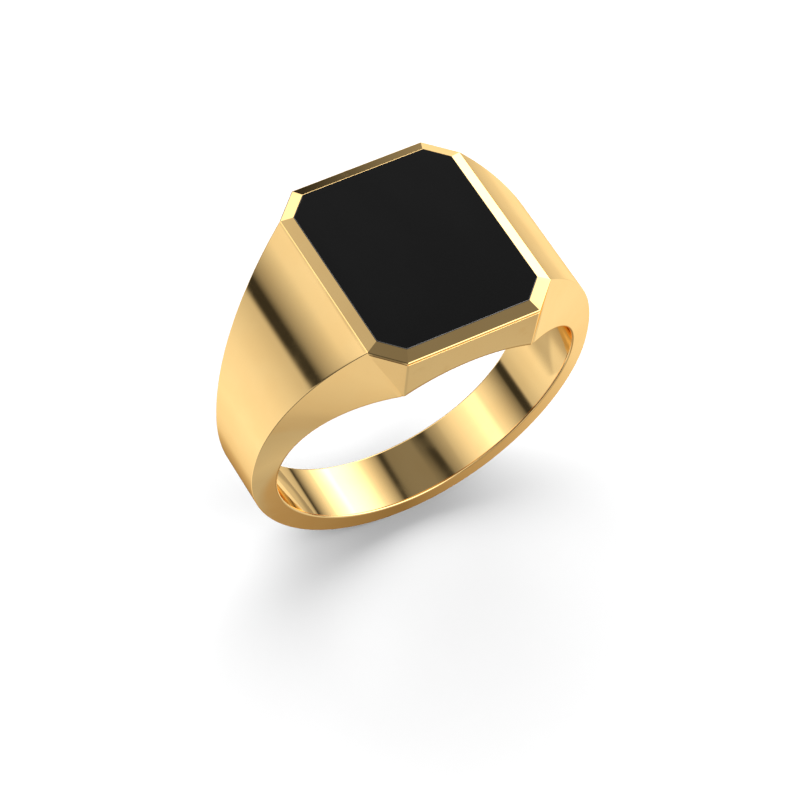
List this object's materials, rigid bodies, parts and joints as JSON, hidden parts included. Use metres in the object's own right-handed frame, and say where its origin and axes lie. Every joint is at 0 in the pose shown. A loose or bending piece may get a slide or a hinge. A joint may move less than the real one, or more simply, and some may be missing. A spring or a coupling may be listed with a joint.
{
  "type": "signet ring",
  "caption": "Gold signet ring with an octagonal head and a flat black stone set flush in a bevelled frame, worn on a finger.",
  "frame": {"origin": "centre of the finger bore, on its axis, midway between the hoop's two sides", "axes": "+Z from the bore's centre up through the stone; Y along the bore (the finger); X across the ring"},
  "size_m": [0.022, 0.0134, 0.0232],
  "materials": {
    "gold_shank": "mirror-polished yellow gold",
    "gold_head": "mirror-polished yellow gold",
    "gold_bezel": "mirror-polished yellow gold",
    "black_onyx": "flat, fine polish",
    "setting_cement": "cured epoxy"
  },
  "bodies": {
    "root": {"shank": "gold_shank", "head_wall": "gold_head", "back_plate": "gold_head", "bearer": "gold_head", "bezel_frame": "gold_bezel", "stone": "black_onyx", "stone_cement": "setting_cement"}
  },
  "joints": []
}
